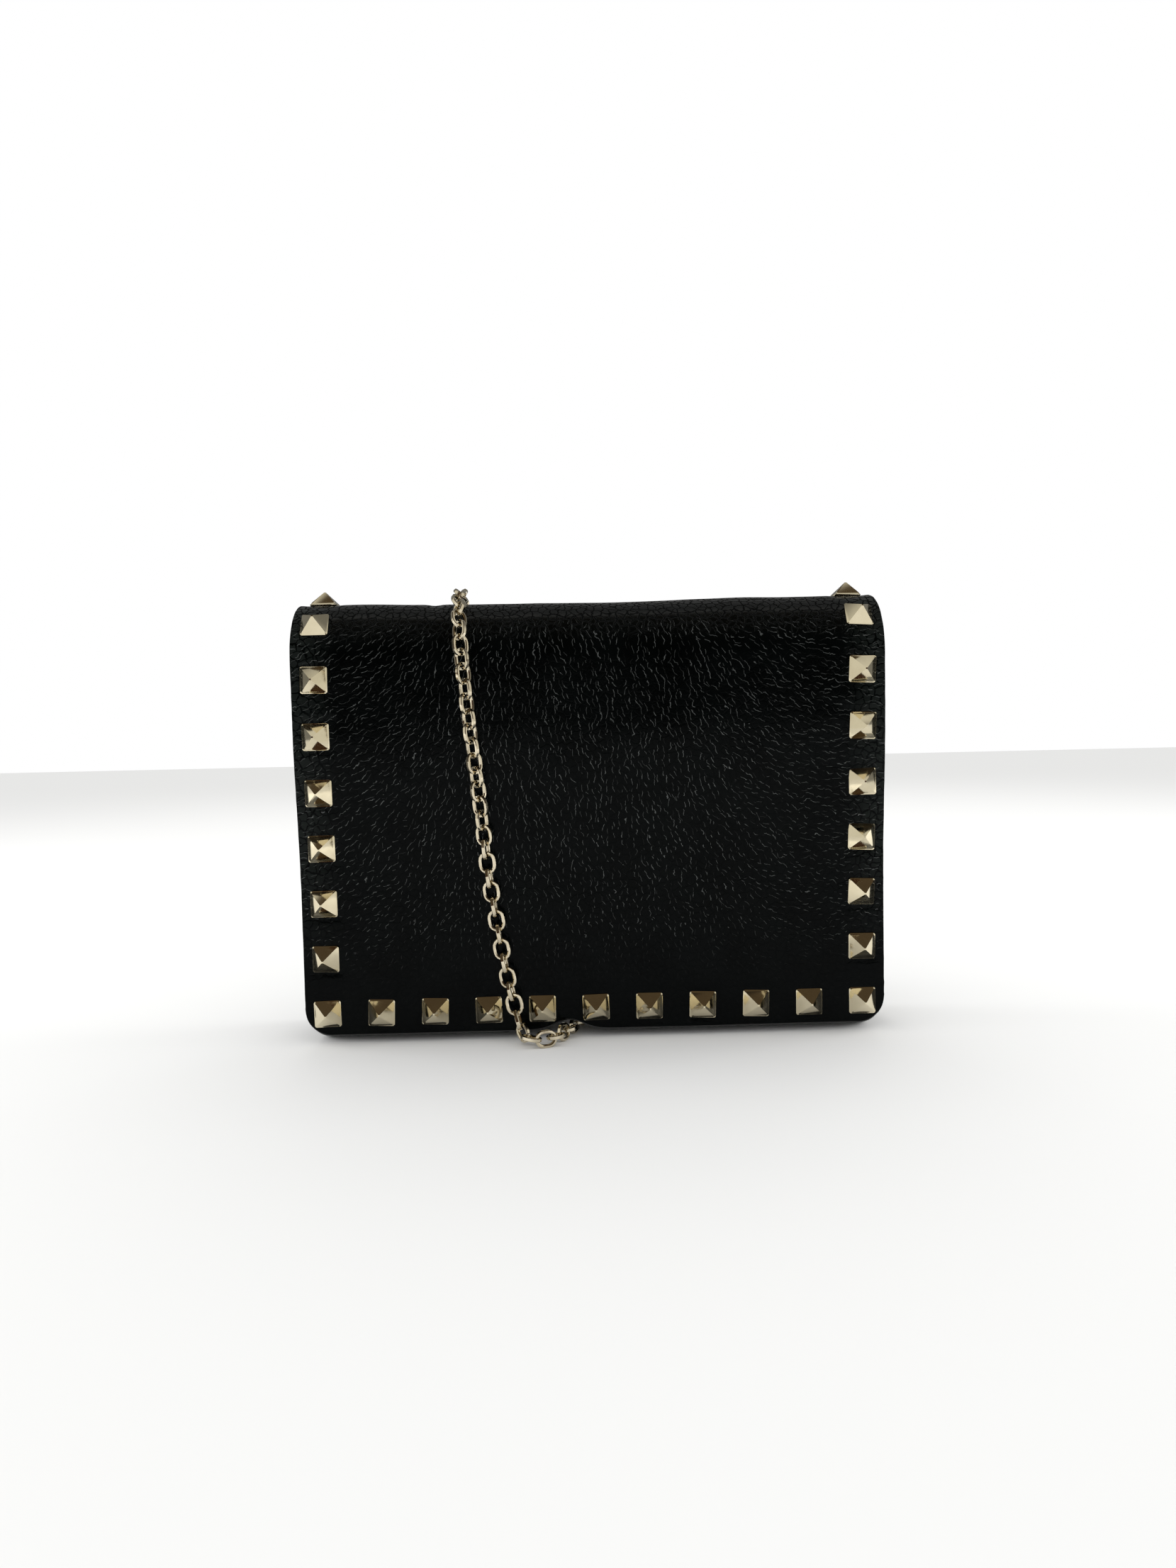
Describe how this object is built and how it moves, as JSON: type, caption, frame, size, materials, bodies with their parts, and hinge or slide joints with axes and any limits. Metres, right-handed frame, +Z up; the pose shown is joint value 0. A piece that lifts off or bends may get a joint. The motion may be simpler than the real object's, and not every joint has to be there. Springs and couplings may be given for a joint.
{
  "type": "chain wallet",
  "caption": "Upright flap wallet in pebbled leather with a border of pyramid studs, a zip pocket, card slots and a long cable chain.",
  "frame": {"origin": "on the surface that the wallet stands on, under the middle of the wallet without its chain", "axes": "+X across the wallet to its right seen from the front, +Y from front to back, +Z up"},
  "size_m": [0.1993, 0.0787, 0.1507],
  "materials": {
    "black_leather": "pebbled, semi-gloss",
    "inner_leather": "smooth, satin",
    "lining": "matt grosgrain",
    "board": "matt black, paper-covered",
    "zip_tape": "matt woven tape",
    "zip_metal": "polished",
    "stud_metal": "polished, pale gold plate",
    "magnet": "satin",
    "ribbon": "matt ribbed ribbon",
    "chain_metal": "polished, pale gold plate"
  },
  "bodies": {
    "body": {"back_panel": "black_leather", "back_lining": "lining", "front_panel": "black_leather", "front_lining": "lining", "slip_pocket": "inner_leather", "base_panel": "black_leather", "base_board": "board", "gusset_left": "black_leather", "gusset_right": "black_leather", "card_slot_upper": "inner_leather", "card_slot_middle": "inner_leather", "card_slot_lower": "inner_leather", "zip_pocket_front": "lining", "zip_pocket_back": "lining", "zip_pocket_seam": "lining", "zip_tape_front": "zip_tape", "zip_tape_back": "zip_tape", "zip_teeth": "zip_metal", "zip_stops": "zip_metal", "ring_tab_left": "black_leather", "ring_tab_right": "black_leather", "snap_socket": "stud_metal", "snap_magnet": "magnet", "chain_back": "chain_metal", "chain_floor": "chain_metal", "chain_hank": "chain_metal", "chain_tie": "ribbon", "chain_rise": "chain_metal"},
    "flap_top": {"flap_top_leather": "black_leather", "flap_top_lining": "lining", "studs_top": "stud_metal", "chain_over": "chain_metal"},
    "flap_front": {"flap_front_leather": "black_leather", "flap_front_lining": "lining", "studs_front": "stud_metal", "snap_post": "stud_metal", "chain_drape": "chain_metal"},
    "slider": {"zip_slider": "zip_metal"},
    "pull": {"zip_pull": "zip_metal"},
    "ring_left": {"d_ring_left": "stud_metal"},
    "ring_right": {"d_ring_right": "stud_metal"}
  },
  "joints": [
    {"name": "flap_lift", "type": "hinge", "parent": "body", "child": "flap_top", "pos_m": [0, 0.01536, 0.14001], "axis": [-1, 0, 0], "range_deg": [0, 150], "deforming": ["chain_over"]},
    {"name": "flap_unfold", "type": "hinge", "parent": "flap_top", "child": "flap_front", "pos_m": [0, -0.0037, 0.14253], "axis": [-1, 0, 0], "range_deg": [0, 50], "deforming": ["chain_drape"]},
    {"name": "zip_slide", "type": "slide", "parent": "body", "child": "slider", "axis": [1, 0, 0], "range_m": [-0.128, 0], "deforming": ["zip_teeth"]},
    {"name": "pull_swing", "type": "hinge", "parent": "slider", "child": "pull", "pos_m": [0.072, 0.00555, 0.10285], "axis": [0, 1, 0], "range_deg": [0, 110]},
    {"name": "ring_left_swing", "type": "hinge", "parent": "body", "child": "ring_left", "pos_m": [-0.0824, 0.006, 0.1125], "axis": [0, 1, 0], "range_deg": [-28, 80], "deforming": ["chain_back"]},
    {"name": "ring_right_swing", "type": "hinge", "parent": "body", "child": "ring_right", "pos_m": [0.0824, 0.006, 0.1125], "axis": [0, -1, 0], "range_deg": [-28, 80], "deforming": ["chain_rise"]}
  ]
}
